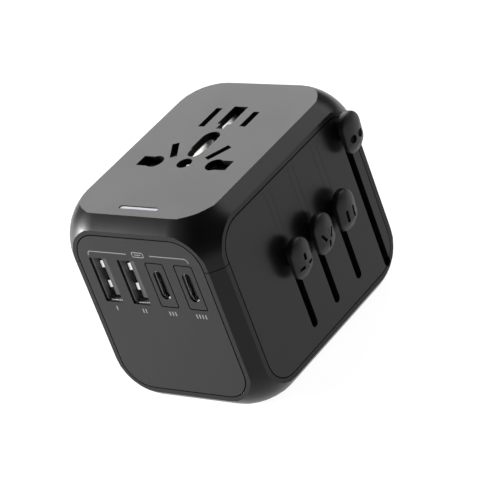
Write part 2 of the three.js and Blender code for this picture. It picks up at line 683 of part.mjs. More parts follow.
place('uk_knob', knob(SLIDER_Y.uk, KNOB_Z), plastic(KNOB_GREY));
place('uk_carrier', ukCarrier(), plastic(BLACK));
place('uk_pin_left', flatPin(UK_PIN, -1), metal(BRASS));
place('uk_pin_right', flatPin(UK_PIN, 1), metal(BRASS));
place('uk_earth_pin', flatPin(UK_EARTH, 1), plastic(BLACK));
place('aus_knob', knob(SLIDER_Y.aus, KNOB_Z), plastic(KNOB_GREY));
place('aus_carrier', ausCarrier(), plastic(BLACK));
place('aus_blade_left', flatPin(AUS_PIN, -1), metal(NICKEL));
place('aus_blade_right', flatPin(AUS_PIN, 1), metal(NICKEL));
place('us_knob', knob(SLIDER_Y.us, KNOB_Z), plastic(KNOB_GREY));
place('us_carrier', usCarrier(), plastic(BLACK));
place('us_blade_left', flatPin(US_PIN, -1), metal(NICKEL));
place('us_blade_right', flatPin(US_PIN, 1), metal(NICKEL));
place('eu_knob', knob(SLIDER_Y.eu, KNOB_EU_Z), plastic(KNOB_GREY));
place('eu_plug_body', euPlugBody(), plastic(BLACK));
place('eu_pin_left', roundPin(-1), metal(NICKEL));
place('eu_pin_right', roundPin(1), metal(NICKEL));

export default adapter;
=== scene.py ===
"""Universal travel adapter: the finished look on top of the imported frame."""
from math import cos, radians, sin

import bpy
from mathutils import Matrix, Vector


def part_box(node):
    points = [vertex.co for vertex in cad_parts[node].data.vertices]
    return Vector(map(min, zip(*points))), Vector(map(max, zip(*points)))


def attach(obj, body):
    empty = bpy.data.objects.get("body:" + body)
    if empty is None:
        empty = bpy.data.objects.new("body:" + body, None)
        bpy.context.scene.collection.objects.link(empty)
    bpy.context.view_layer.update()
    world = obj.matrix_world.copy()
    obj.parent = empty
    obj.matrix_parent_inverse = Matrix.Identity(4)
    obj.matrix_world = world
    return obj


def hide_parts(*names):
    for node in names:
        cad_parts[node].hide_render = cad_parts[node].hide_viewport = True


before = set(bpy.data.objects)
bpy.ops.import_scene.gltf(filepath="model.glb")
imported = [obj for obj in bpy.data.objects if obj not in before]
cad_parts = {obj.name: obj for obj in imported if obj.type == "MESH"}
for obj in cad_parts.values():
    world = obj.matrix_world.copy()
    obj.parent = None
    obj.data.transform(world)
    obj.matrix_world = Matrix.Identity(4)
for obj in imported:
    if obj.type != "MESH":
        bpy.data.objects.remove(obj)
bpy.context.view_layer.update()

# The studio: a camera about 0.7 m away, looking down over the front right corner, and a pale floor.
# A broad soft light hangs high at the back left, a small one stands low at the front left, and
# one at the back right.
MM = 0.001

bpy.ops.object.camera_add(location=(0.43195, -0.42847, 0.35518))
camera = bpy.context.object
camera.name = "camera"
camera.rotation_euler = (radians(60.0455), radians(18.2239), radians(34.9032))
camera.data.lens = 203.69
camera.data.sensor_width = 36
camera.data.clip_start, camera.data.clip_end = 0.05, 20
bpy.context.scene.camera = camera

bpy.ops.mesh.primitive_plane_add(size=8, location=(0, 0, 0))
floor = bpy.context.object
floor.name = "floor"
paper = bpy.data.materials.new("studio_paper")
paper.use_nodes = True
surface = paper.node_tree.nodes["Principled BSDF"]
surface.inputs["Base Color"].default_value = (0.12, 0.12, 0.12, 1)
surface.inputs["Roughness"].default_value = 0.9
surface.inputs["Emission Color"].default_value = (1, 1, 1, 1)
surface.inputs["Emission Strength"].default_value = 0.95
floor.data.materials.append(paper)


def soft_light(name, azimuth, elevation, distance, size, power):
    """A square soft light that faces the object. Azimuth 0 is on the -Y side and 90 on the +X side."""
    a, e = radians(azimuth), radians(elevation)
    out = Vector((sin(a) * cos(e), -cos(a) * cos(e), sin(e)))
    bpy.ops.object.light_add(type="AREA", location=out * distance + Vector((0, 0, 28 * MM)))
    light = bpy.context.object
    light.name = name
    light.rotation_euler = out.to_track_quat("Z", "Y").to_euler()
    light.data.shape = "SQUARE"
    light.data.size = size
    light.data.energy = power


soft_light("high_back", 225, 42, 1.1, 1.1, 16)
soft_light("low_left", -62, 9, 1.0, 0.3, 40)
soft_light("back_right", 145, 36, 1.2, 0.8, 6.2)
world = bpy.data.worlds.new("studio")
world.use_nodes = True
world.node_tree.nodes["Background"].inputs["Color"].default_value = (1, 1, 1, 1)
world.node_tree.nodes["Background"].inputs["Strength"].default_value = 0.04
bpy.context.scene.world = world
bpy.context.scene.view_settings.view_transform = "Standard"

# The two casing halves: black-grey satin plastic, injection moulded. Each is a box with very large
# roundings whose faces are cut off flat; they meet at a fine joint and are screwed from below.
BODY_BLACK = (0.0055, 0.0055, 0.0057, 1)
EDGE_RADIUS = 15.8
EDGE_INSET = 12.6
JOINT_Z = 42.8
JOINT_GAP = 0.22
WALL, BASE_THICK, TOP_THICK = 3.4, 2.4, 1.8
CASING_EDGE = 0.16
SMOOTH_ANGLE = radians(35)
FULL_ROUND = 0.998  # of half the width: two roundings that met would leave a flat sliver


def span(*nodes):
    """The box round these CAD nodes as (low, high) pairs along X, Y and Z, in millimetres."""
    boxes = [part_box(node) for node in nodes]
    lows = [min(low[i] for low, _ in boxes) / MM for i in range(3)]
    highs = [max(high[i] for _, high in boxes) / MM for i in range(3)]
    return list(zip(lows, highs))


def only(*things):
    """Selects these things and nothing else."""
    bpy.ops.object.select_all(action="DESELECT")
    for thing in things:
        thing.select_set(True)
    bpy.context.view_layer.objects.active = things[0]


def block(name, x, y, z):
    """A cube between (low, high) pairs in millimetres."""
    middle = [(low + high) / 2 * MM for low, high in (x, y, z)]
    size = [(high - low) * MM for low, high in (x, y, z)]
    bpy.ops.object.select_all(action="DESELECT")
    bpy.ops.mesh.primitive_cube_add(size=1, location=middle, scale=size)
    bpy.ops.object.transform_apply(location=True, rotation=True, scale=True)
    piece = bpy.context.object
    piece.name = name
    return piece


def pick_edges(piece, wanted):
    """Goes to edit mode with the edges selected whose two ends, in millimetres, are wanted."""
    only(piece)
    bpy.ops.object.mode_set(mode="EDIT")
    bpy.ops.mesh.select_mode(type="EDGE")
    bpy.ops.mesh.select_all(action="DESELECT")
    bpy.ops.object.mode_set(mode="OBJECT")
    points = [v.co / MM for v in piece.data.vertices]
    for edge in piece.data.edges:
        edge.select = wanted(*(points[i] for i in edge.vertices))
    bpy.ops.object.mode_set(mode="EDIT")


def pick_faces(piece, wanted):
    """Goes to edit mode with the faces selected whose middle, in millimetres, and normal are wanted."""
    only(piece)
    bpy.ops.object.mode_set(mode="EDIT")
    bpy.ops.mesh.select_mode(type="FACE")
    bpy.ops.mesh.select_all(action="DESELECT")
    bpy.ops.object.mode_set(mode="OBJECT")
    for face in piece.data.polygons:
        face.select = wanted(face.center / MM, face.normal)
    bpy.ops.object.mode_set(mode="EDIT")


def lies_along(axis):
    """Says whether an edge runs along the axis."""
    return lambda a, b: abs((b - a).normalized()[axis]) > 0.99


def round_edges(piece, wanted, radius, segments=6):
    """Rounds the wanted edges."""
    pick_edges(piece, wanted)
    bpy.ops.mesh.bevel(offset=radius * MM, segments=segments, affect="EDGES", clamp_overlap=True)
    bpy.ops.object.mode_set(mode="OBJECT")
    return piece


def round_bar(name, radius, low, high, x, y, tip=0.0, sides=48):
    """An upright round bar between two heights in millimetres, with its lower rim rounded by tip."""
    bpy.ops.object.select_all(action="DESELECT")
    bpy.ops.mesh.primitive_cylinder_add(vertices=sides, radius=radius * MM, depth=(high - low) * MM,
                                        location=Vector((x, y, (low + high) / 2)) * MM)
    bpy.ops.object.transform_apply(location=True, rotation=True, scale=True)
    bar_piece = bpy.context.object
    bar_piece.name = name
    if tip:
        round_edges(bar_piece, lambda a, b: max(a.z, b.z) < low + 0.01, tip, 8)
    return bar_piece


def turn_in_place(piece, axis, degrees):
    """Turns the piece about its own middle."""
    only(piece)
    bpy.ops.object.origin_set(type="ORIGIN_GEOMETRY", center="BOUNDS")
    piece.rotation_euler[axis] = radians(degrees)
    bpy.ops.object.transform_apply(location=True, rotation=True, scale=True)
    return piece


def slice_flat(piece, axis, at, side):
    """Cuts away what lies beyond the plane at that place, towards side, and closes the cut."""
    only(piece)
    bpy.ops.object.mode_set(mode="EDIT")
    bpy.ops.mesh.select_all(action="SELECT")
    point, normal = Vector(), Vector()
    point[axis], normal[axis] = at * MM, side
    bpy.ops.mesh.bisect(plane_co=point, plane_no=normal, use_fill=True, clear_outer=True)
    bpy.ops.object.mode_set(mode="OBJECT")


def modify(piece, kind, **settings):
    """Adds a modifier and applies it."""
    only(piece)
    modifier = piece.modifiers.new(kind.lower(), kind)
    for key, value in settings.items():
        setattr(modifier, key, value)
    bpy.ops.object.modifier_apply(modifier=modifier.name)
    return piece


def join(first, *others):
    """Makes one mesh of these pieces."""
    only(first, *others)
    bpy.ops.object.join()
    return first


def combine(piece, tools, operation="DIFFERENCE"):
    """Cuts the tools out of the piece, or joins or intersects it with them, and removes them."""
    for tool in tools:
        modify(piece, "BOOLEAN", operation=operation, object=tool, solver="EXACT")
        bpy.data.objects.remove(tool)
    return piece


def soften(piece, width):
    """Gives every sharp edge the small radius of a moulded or stamped one, and smooths the shading."""
    modify(piece, "BEVEL", width=width * MM, segments=2, limit_method="ANGLE",
           angle_limit=radians(30), use_clamp_overlap=True, miter_outer="MITER_ARC")
    bpy.ops.object.shade_smooth_by_angle(angle=SMOOTH_ANGLE)
    return modify(piece, "WEIGHTED_NORMAL", keep_sharp=True)


def moulded(name, colour, roughness, grain=0.35, depth=0.005, gloss=0.3):
    """Moulded plastic: a fine spark-eroded grain, and a finish that varies a little over the piece."""
    uneven_sheen, uneven_colour, clouds_per_metre = 0.02, 0.1, 60
    material = bpy.data.materials.new(name)
    material.use_nodes = True
    nodes, links = material.node_tree.nodes, material.node_tree.links
    shader = nodes["Principled BSDF"]
    place = nodes.new("ShaderNodeTexCoord")
    grains = nodes.new("ShaderNodeTexNoise")
    grains.inputs["Scale"].default_value = 1 / (grain * MM)
    grains.inputs["Detail"].default_value = 3
    bump = nodes.new("ShaderNodeBump")
    bump.inputs["Distance"].default_value = depth * MM
    bump.inputs["Strength"].default_value = 1
    cloudy = nodes.new("ShaderNodeTexNoise")
    cloudy.inputs["Scale"].default_value = clouds_per_metre
    cloudy.inputs["Detail"].default_value = 5
    sheen = nodes.new("ShaderNodeMapRange")
    sheen.inputs["From Min"].default_value = 0.3
    sheen.inputs["From Max"].default_value = 0.7
    sheen.inputs["To Min"].default_value = roughness - uneven_sheen
    sheen.inputs["To Max"].default_value = roughness + uneven_sheen
    tint = nodes.new("ShaderNodeMix")
    tint.data_type = "RGBA"
    tint.inputs["A"].default_value = [c * (1 - uneven_colour) for c in colour[:3]] + [1]
    tint.inputs["B"].default_value = [c * (1 + uneven_colour) for c in colour[:3]] + [1]
    links.new(place.outputs["Object"], grains.inputs["Vector"])
    links.new(place.outputs["Object"], cloudy.inputs["Vector"])
    links.new(grains.outputs["Fac"], bump.inputs["Height"])
    links.new(bump.outputs["Normal"], shader.inputs["Normal"])
    links.new(cloudy.outputs["Fac"], sheen.inputs["Value"])
    links.new(sheen.outputs["Result"], shader.inputs["Roughness"])
    links.new(grains.outputs["Fac"], tint.inputs["Factor"])
    links.new(tint.outputs["Result"], shader.inputs["Base Color"])
    shader.inputs["Specular IOR Level"].default_value = gloss
    return material


def hand_over(piece, material, body, slot, *nodes):
    """The finished piece gets its material, rides on its body and stands for its CAD nodes."""
    piece.data.materials.clear()
    piece.data.materials.append(material)
    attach(piece, body)
    if nodes:
        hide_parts(*nodes)


(_, half_x), (_, half_y), (_, height) = span("lower_casing", "upper_casing")
PANEL_RIM = 0.3
PANEL_CORNER = 7.5
POCKET_DEEP = 1.6


def housing_block(name, inward, radius):
    """A rounded block as large as the housing, with its faces moved inwards."""
    wide, deep = half_x - inward, half_y - inward
    piece = block(name, (-wide, wide), (-deep, deep), (inward, height - inward))
    return round_edges(piece, lambda a, b: True, radius, 10)


# Each cover panel with the axis that it faces along, and the side of the housing that it is on.
PANEL_FACES = {"usb_panel": (1, -1), "back_panel": (1, 1), "slider_panel": (0, 1), "left_panel": (0, -1)}


def panel_block(name, node, outward, inward, grow=0.0):
    """A slab with the outline of a cover panel, reaching that far outward and inward of its face."""
    axis, side = PANEL_FACES[node]
    face = side * (half_x, half_y)[axis]
    sides = [(low - grow, high + grow) for low, high in span(node)]
    sides[axis] = sorted((face + side * outward, face - side * inward))
    return round_edges(block(name, *sides), lies_along(axis), PANEL_CORNER + grow, 12)


SLIDER_TRAVEL = {"uk": 18.2, "aus": 18.2, "us": 18.2, "eu": 38.0}
SLOT_WIDTH = 2.3
SLOT_BELOW, SLOT_ABOVE = 2.9, 2.8


def slider_slot(name, x, grow=0.0):
    """The slot that a knob's stem runs in, as a solid with round ends, x being its (low, high)."""
    _, y, z = span(f"{name}_knob")
    middle, rest = sum(y) / 2, sum(z) / 2
    half = SLOT_WIDTH / 2 + grow
    low, high = rest - SLIDER_TRAVEL[name] - SLOT_BELOW - grow, rest + SLOT_ABOVE + grow
    piece = block("slot", x, (middle - half, middle + half), (low, high))
    return round_edges(piece, lies_along(0), half * FULL_ROUND, 8)


# The half width, half height and corner radius of each outlet's opening.
PORT_OPENINGS = {
    "usb_a_shell_1": (2.8, 6.65, 0.25),
    "usb_a_shell_2": (2.8, 6.65, 0.25),
    "usb_c_bezel_1": (2.96, 6.66, 0.7),
    "usb_c_bezel_2": (2.96, 6.66, 0.7),
}


def port_blocks(y, grow):
    """Solids through the four USB openings."""
    blocks = []
    for node, (wide, high, corner) in PORT_OPENINGS.items():
        x, _, z = span(node)
        port_x, port_z = sum(x) / 2, sum(z) / 2
        piece = block("port", (port_x - wide - grow, port_x + wide + grow), y,
                      (port_z - high - grow, port_z + high + grow))
        blocks.append(round_edges(piece, lies_along(1), corner, 4))
    return blocks


# Where the poles' openings lie: straight for the American plug, slanted for the Australian one, and
# a round hole that runs into a flat slot for the European and the British ones.
STRAIGHT_X, SLANTED_X, ROUND_X, FLAT_X = 6.35, 7.05, 9.6, 12.6
SLANT = 30
ROUND_Y = -6.8


def socket_block(x, y, turn=0.0, radius=0.12):
    """A slot of the universal socket, turned about its middle in degrees, seen from above."""
    piece = block("slot", x, y, (height - 8, height + 1))
    return turn_in_place(round_edges(piece, lies_along(2), radius, 4), 2, turn)


def socket_round(x, y, radius):
    """A round hole of the universal socket."""
    return round_bar("hole", radius, height - 8, height + 1, x, y)


def socket_openings():
    """The universal socket: the openings on its middle line, then those of the two poles."""
    tools = [
        socket_block((-2.2, 2.2), (11.2, 19.35)),
        socket_block((-1.1, 1.1), (9, 12)),
        socket_block((-2.6, 2.6), (-0.6, 7.6), radius=2.59),
        socket_block((-2.6, 2.6), (-0.4, 5)),
        socket_block((-2.1, 2.1), (-3.9, 2), radius=2.09),
        socket_block((-7.4, -5.4), (9.6, 18.3)),
        socket_block((5.35, 7.35), (10.5, 17.3)),
        socket_round(0, ROUND_Y, 2.1),
    ]
    for side in (-1, 1):
        slanted = (side * SLANTED_X - 0.98, side * SLANTED_X + 0.98)
        tools.append(socket_block(slanted, (-4.85, 1.95), turn=-SLANT * side))
        tools.append(socket_round(side * ROUND_X, ROUND_Y, 2.48))
        tools.append(socket_block(sorted((side * ROUND_X, side * 14.4)),
                                  (ROUND_Y - 2.075, ROUND_Y + 2.075)))
    return tools


def casing(name, low, high):
    """One casing half: the hollow housing between two heights."""
    shell = housing_block(name, EDGE_INSET - EDGE_RADIUS, EDGE_RADIUS)
    for axis, reach in ((0, half_x), (1, half_y)):
        slice_flat(shell, axis, reach, 1)
        slice_flat(shell, axis, -reach, -1)
    slice_flat(shell, 2, low, -1)
    slice_flat(shell, 2, high, 1)
    hollow = block("hollow", (WALL - half_x, half_x - WALL), (WALL - half_y, half_y - WALL),
                   (BASE_THICK, height - TOP_THICK))
    combine(shell, [round_edges(hollow, lambda a, b: True, 4, 4)])
    combine(shell, [panel_block("pocket", node, 1, POCKET_DEEP, PANEL_RIM) for node in PANEL_FACES])
    combine(shell, [slider_slot(row, (half_x - 6, half_x + 1), 0.25) for row in SLIDER_TRAVEL])
    return combine(shell, port_blocks((-half_y - 1, -half_y + 5), 0.3))


upper = casing("upper_casing_moulding", JOINT_Z + JOINT_GAP / 2, height)
combine(upper, socket_openings())
light_window = block("window", (-6.2, 6.2), (-27.45, -26.15), (height - 5, height + 1))
combine(upper, [round_edges(light_window, lies_along(2), 0.62, 6)])
soften(upper, CASING_EDGE)
body_plastic = moulded("satin_black_body", BODY_BLACK, 0.32, gloss=0.2)
hand_over(upper, body_plastic, "housing", "casing_plastic", "upper_casing")

lower = casing("lower_casing_moulding", 0, JOINT_Z - JOINT_GAP / 2)


def base_opening(x, y, turn=0.0, radius=0.4):
    """An opening in the base, which a pin or a whole plug comes out of."""
    piece = block("opening", x, y, (-2, 6))
    return turn_in_place(round_edges(piece, lies_along(2), radius, 5), 2, turn)


base_tools = [
    base_opening((-2.3, 2.3), (9.35, 17.95)),
    base_opening((-13.8, 13.8), (21.3, 29.9), radius=4.28),
]
for side in (-1, 1):
    uk_x, us_x, aus_x = side * 11.1, side * STRAIGHT_X, side * 6.86
    base_tools.append(base_opening((uk_x - 3.475, uk_x + 3.475), (-10.8, -6.2)))
    base_tools.append(base_opening((us_x - 1.05, us_x + 1.05), (12.8, 19.8)))
    base_tools.append(base_opening((aus_x - 1.1, aus_x + 1.1), (-1.3, 5.7), turn=-SLANT * side))
for number in (1, 2, 3, 4):
    x, y, _ = span(f"casing_screw_{number}")
    base_tools.append(round_bar("counterbore", 2, -5.8, 4.2, sum(x) / 2, sum(y) / 2, sides=32))
combine(lower, base_tools)
soften(lower, CASING_EDGE)
hand_over(lower, body_plastic, "housing", "casing_plastic", "lower_casing")

# The four cover panels: thin moulded plates, flush with the casing, clipped into shallow pockets.
# A fine dark joint runs round each. The front one is pierced for the USB outlets, the right one
# for the sliders, and has two fine lines above each short slot.
PANEL_BLACK = (0.0045, 0.0045, 0.0047, 1)
PANEL_DEEP, PANEL_EDGE = 1.3, 0.12
panel_plastic = moulded("satin_panel", PANEL_BLACK, 0.3, grain=0.25, depth=0.0015)
side_plastic = moulded("satin_side_panel", PANEL_BLACK, 0.3, grain=0.25, depth=0.0015, gloss=0.25)
usb_panel = panel_block("usb_panel_plate", "usb_panel", 0, PANEL_DEEP)
combine(usb_panel, port_blocks((-half_y - 1, -half_y + 3), 0))
slider_panel = panel_block("slider_panel_plate", "slider_panel", 0, PANEL_DEEP)
combine(slider_panel, [slider_slot(row, (half_x - 3, half_x + 1)) for row in SLIDER_TRAVEL])
GUIDE_LINE = {"deep": 0.03, "half_width": 0.06, "from_middle": 1.1, "top": 50.2}
for row in ("uk", "aus", "us"):
    _, y, z = span(f"{row}_knob")
    for side in (-1, 1):
        line_y = sum(y) / 2 + side * GUIDE_LINE["from_middle"]
        combine(slider_panel, [block("line", (half_x - GUIDE_LINE["deep"], half_x + 1),
                                     (line_y - GUIDE_LINE["half_width"], line_y + GUIDE_LINE["half_width"]),
                                     (z[1] - 2, GUIDE_LINE["top"]))])
back_panel = panel_block("back_panel_plate", "back_panel", 0, PANEL_DEEP)
left_panel = panel_block("left_panel_plate", "left_panel", 0, PANEL_DEEP)
soften(usb_panel, PANEL_EDGE)
hand_over(usb_panel, panel_plastic, "housing", "panel_plastic", "usb_panel")
for plate, node in ((slider_panel, "slider_panel"), (back_panel, "back_panel"), (left_panel, "left_panel")):
    soften(plate, PANEL_EDGE)
    hand_over(plate, side_plastic, "housing", "panel_plastic", node)

# The marks round the USB outlets, printed in pale grey ink: a bracket over all four, and one to
# four short ticks under them in place of words.
INK_HIGH = 0.02
ink = moulded("pale_ink", (0.13, 0.13, 0.13, 1), 0.6, grain=0.1, depth=0.002)
ink_y = (-half_y - INK_HIGH, -half_y + 0.2)


def bar(x, z):
    """A printed bar on the front panel."""
    return block("bar", x, ink_y, z)


bracket = round_edges(bar((-16.2, 16.2), (38, 46.5)), lies_along(1), 1.15, 8)
inside = block("inside", (-15.95, 15.95), (-half_y - 1, -half_y + 1), (37, 46.25))
gap = block("gap", (-3.3, 4.2), (-half_y - 1, -half_y + 1), (44, 48))
combine(bracket, [round_edges(inside, lies_along(1), 0.9, 8), gap])
slice_flat(bracket, 2, 45.1, -1)
outlet = round_edges(bar((-1.5, 2.3), (45.6, 47.2)), lies_along(1), 0.5, 5)
outlet_inside = block("inside", (-1.25, 2.05), (-half_y - 1, -half_y + 1), (45.85, 46.95))
combine(outlet, [round_edges(outlet_inside, lies_along(1), 0.25, 4)])
join(bracket, outlet, bar((-0.6, 1.4), (46.28, 46.52)))
bracket.name = "usb_bracket_print"
hand_over(bracket, ink, "housing", "panel_plastic")
TICK_PITCH, TICK_HALF = 0.95, 0.19
ticks = []
for count, node in enumerate(PORT_OPENINGS, 1):
    middle = sum(span(node)[0]) / 2
    for i in range(count):
        x = middle + (i - (count - 1) / 2) * TICK_PITCH
        ticks.append(bar((x - TICK_HALF, x + TICK_HALF), (28.55, 29.8)))
tick_marks = join(*ticks)
tick_marks.name = "usb_tick_print"
hand_over(tick_marks, ink, "housing", "panel_plastic")

# The power light's guide: a bar of frosted clear plastic, moulded, pressed into a window of the
# upper casing and a touch below the socket face.
frosted = moulded("frosted_guide", (0.4, 0.4, 0.48, 1), 0.35, grain=0.15, depth=0.003)
light_bar = block("light_guide", (-6.1, 6.1), (-27.25, -26.22), (height - 4.3, height - 0.2))
round_edges(light_bar, lies_along(2), 0.55, 6)
soften(light_bar, 0.12)
hand_over(light_bar, frosted, "housing", "light_guide", "light_bar")

# The slider knobs: black-grey plastic caps with a crowned face, each on a stem through its slot.
# A recessed pattern of pins shows which plug a knob slides out.
KNOB_BLACK = (0.008, 0.008, 0.0082, 1)
KNOB_BACK, KNOB_SIDE = 2.3, 3.56
# Each step of the rim and of the crown goes inward and rises. The chin drops by steps, each one below
# a distance under the knob's middle.
RIM_STEPS = [(0.04, 0.18), (0.09, 0.15), (0.13, 0.1), (0.2, 0.12)]
CROWN_STEPS = [(0.5, 0.24), (0.55, 0.2), (0.55, 0.15), (0.55, 0.1), (0.5, 0.05)]
KNOB_CROWN = KNOB_SIDE + sum(rise for _, rise in RIM_STEPS + CROWN_STEPS)
CHIN = ((0.5, 0.3), (2.6, 0.12), (3.3, 0.14), (4.0, 0.16), (4.7, 0.18), (5.3, 0.2))
MARK_DEEP, MARK_LOWER = 0.85, 0.4
STEM_HALF_WIDE, STEM_HALF_HIGH = 0.85, 2.5
knob_plastic = moulded("satin_knob", KNOB_BLACK, 0.4, grain=0.25, depth=0.004, gloss=0.27)
mark_paint = moulded("black_mark_paint", (0.003, 0.003, 0.003, 1), 0.8, grain=0.2, depth=0.002, gloss=0.1)


def mark_cutters(name, y, z):
    """The pins of a plug as small blocks: (across, up, half width, half height, turn) for each."""
    pins = {
        "uk": [(0, 1.0, 0.45, 0.95, 0), (-1.75, -1.5, 0.9, 0.42, 0), (1.75, -1.5, 0.9, 0.42, 0)],
        "aus": [(-1.6, 0.2, 0.38, 1.35, 28), (1.6, 0.2, 0.38, 1.35, -28), (0, -2.4, 0.38, 0.95, 0)],
        "us": [(-1.35, -0.6, 0.42, 1.75, 0), (1.35, -0.6, 0.42, 1.75, 0)],
        "eu": [(-1.55, -0.6, 1.1, 1.1, 0), (1.55, -0.6, 1.1, 1.1, 0)],
    }[name]
    tools = []
    for across, up, wide, tall, turn in pins:
        tool = block("mark", (half_x + KNOB_CROWN - MARK_DEEP, half_x + KNOB_CROWN + 1),
                     (y + across - wide, y + across + wide), (z + up - tall, z + up + tall))
        round_edges(tool, lies_along(0), 1.09 if name == "eu" else 0.15, 6)
        turn_in_place(tool, 0, turn)
        tool.data.materials.append(mark_paint)
        tools.append(tool)
    return tools


def move_where(piece, wanted, move):
    """Moves the points, given in millimetres, that are wanted."""
    pick_faces(piece, lambda place, normal: False)
    bpy.ops.mesh.select_mode(type="VERT")
    bpy.ops.object.mode_set(mode="OBJECT")
    for point in piece.data.vertices:
        point.select = wanted(point.co / MM)
    bpy.ops.object.mode_set(mode="EDIT")
    bpy.ops.transform.translate(value=Vector(move) * MM)
    bpy.ops.object.mode_set(mode="OBJECT")


for row in SLIDER_TRAVEL:
    x, y, z = span(f"{row}_knob")
    y_mid, z_mid = sum(y) / 2, sum(z) / 2
    middle = Vector((half_x, y_mid, z_mid)) * MM
    wide, tall = (y[1] - y[0]) / 2, (z[1] - z[0]) / 2
    cap = block(f"{row}_knob_cap", (half_x + KNOB_BACK, half_x + KNOB_SIDE), y, z)
    round_edges(cap, lies_along(0), wide * FULL_ROUND, 16)
    pick_faces(cap, lambda place, normal: True)
    bpy.ops.mesh.remove_doubles(threshold=0.05 * MM)
    bpy.ops.object.mode_set(mode="OBJECT")
    pick_faces(cap, lambda place, normal: normal.x > 0.99)
    for inward, rise in RIM_STEPS + CROWN_STEPS:
        bpy.ops.mesh.extrude_region_move(TRANSFORM_OT_translate={"value": (rise * MM, 0, 0)})
        bpy.ops.transform.resize(value=(1, 1 - inward / wide, 1 - inward / tall), center_override=middle)
        wide, tall = wide - inward, tall - inward
    bpy.ops.object.mode_set(mode="OBJECT")
    for below, drop in CHIN:
        move_where(cap, lambda at: at.x > half_x + KNOB_BACK + 0.1 and at.z < z_mid - below,
                   (-drop, 0, 0))
    bpy.ops.object.shade_smooth_by_angle(angle=SMOOTH_ANGLE)
    cap.data.materials.clear()
    cap.data.materials.append(knob_plastic)
    for tool in mark_cutters(row, y_mid, z_mid - MARK_LOWER):
        modify(cap, "BOOLEAN", operation="DIFFERENCE", object=tool, solver="EXACT",
               material_mode="TRANSFER")
        bpy.data.objects.remove(tool)
    stem = block("stem", (x[0], half_x + KNOB_BACK + 0.3), (y_mid - STEM_HALF_WIDE, y_mid + STEM_HALF_WIDE),
                 (z_mid - STEM_HALF_HIGH, z_mid + STEM_HALF_HIGH))
    round_edges(stem, lies_along(0), 0.84, 6)
    stem.data.materials.append(knob_plastic)
    join(cap, stem)
    bpy.ops.object.shade_smooth_by_angle(angle=SMOOTH_ANGLE)
    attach(cap, f"{row}_slider")
    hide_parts(f"{row}_knob")

# The USB-A sockets: a tube of nickel-plated sheet steel with two sprung tabs pressed in from each
# wide side, and a dark plastic tongue that carries four gilt contacts.
STEEL = (0.42, 0.42, 0.43, 1)


def sheet_metal(name, colour, roughness, brushing=(8, 900, 900)):
    """Rolled or plated metal with a fine brushing along one axis and cloudy stains."""
    material = bpy.data.materials.new(name)
    material.use_nodes = True
    nodes, links = material.node_tree.nodes, material.node_tree.links
    shader = nodes["Principled BSDF"]
    shader.inputs["Metallic"].default_value = 1
    place = nodes.new("ShaderNodeTexCoord")
    stretch = nodes.new("ShaderNodeMapping")
    stretch.inputs["Scale"].default_value = brushing
    lines = nodes.new("ShaderNodeTexNoise")
    lines.inputs["Scale"].default_value = 8
    lines.inputs["Detail"].default_value = 4
    finish = nodes.new("ShaderNodeMapRange")
    finish.inputs["To Min"].default_value = roughness - 0.08
    finish.inputs["To Max"].default_value = roughness + 0.12
    bump = nodes.new("ShaderNodeBump")
    bump.inputs["Distance"].default_value = 0.004 * MM
    stain = nodes.new("ShaderNodeTexNoise")
    stain.inputs["Scale"].default_value = 300
    tint = nodes.new("ShaderNodeMix")
    tint.data_type = "RGBA"
    tint.inputs["A"].default_value = [c * 0.86 for c in colour[:3]] + [1]
    tint.inputs["B"].default_value = [min(1, c * 1.1) for c in colour[:3]] + [1]
    links.new(place.outputs["Object"], stretch.inputs["Vector"])
    links.new(stretch.outputs["Vector"], lines.inputs["Vector"])
    links.new(lines.outputs["Fac"], finish.inputs["Value"])
    links.new(finish.outputs["Result"], shader.inputs["Roughness"])
    links.new(lines.outputs["Fac"], bump.inputs["Height"])
    links.new(bump.outputs["Normal"], shader.inputs["Normal"])
    links.new(place.outputs["Object"], stain.inputs["Vector"])
    links.new(stain.outputs["Fac"], tint.inputs["Factor"])
    links.new(tint.outputs["Result"], shader.inputs["Base Color"])
    return material


nickel_steel = sheet_metal("nickel_plated_steel", STEEL, 0.5)
polished_steel = sheet_metal("polished_steel", STEEL, 0.35)
# The sprung tabs are the same nickel-plated steel as the tube but are painted far paler than it. Part of
# their brightness is real, from the light their slope catches, and the rest is a painted highlight.
tab_nickel_painted_highlight = sheet_metal("tab_nickel_painted_highlight", (0.93, 0.93, 0.92, 1), 0.3)
gilt = sheet_metal("gilt_contact", (0.83, 0.62, 0.27, 1), 0.25)
black_plastic = moulded("black_insulator", (0.02, 0.02, 0.021, 1), 0.5, grain=0.2, depth=0.004)
tongue_plastic = moulded("tongue_grey", (0.045, 0.045, 0.046, 1), 0.45, grain=0.2, depth=0.004)
SHELL_INSET, TAB_INSET = 0.7, 2.7
TAB_RISE, TAB_RAMP, TAB_LONG = 1.15, 0.45, 2.6
TAB_HEIGHTS = (40.5, 34.5)


def sprung_tab(wall_x, side, front, z):
    """A tab bent in from a socket's wall: a steep ramp in front, then a long slope back to the wall."""
    tab = block("tab", sorted((wall_x, wall_x + side * 0.1)), (front, front + TAB_LONG), z)
    pick_edges(tab, lies_along(1))
    bpy.ops.mesh.subdivide(number_cuts=1)
    bpy.ops.mesh.select_mode(type="VERT")
    bpy.ops.mesh.select_all(action="DESELECT")
    bpy.ops.object.mode_set(mode="OBJECT")
    for point in tab.data.vertices:
        point.select = abs(point.co.y / MM - front - TAB_LONG / 2) < 0.1
    bpy.ops.object.mode_set(mode="EDIT")
    bpy.ops.transform.translate(value=(side * TAB_RISE * MM, (TAB_RAMP - TAB_LONG / 2) * MM, 0))
    bpy.ops.object.mode_set(mode="OBJECT")
    return tab


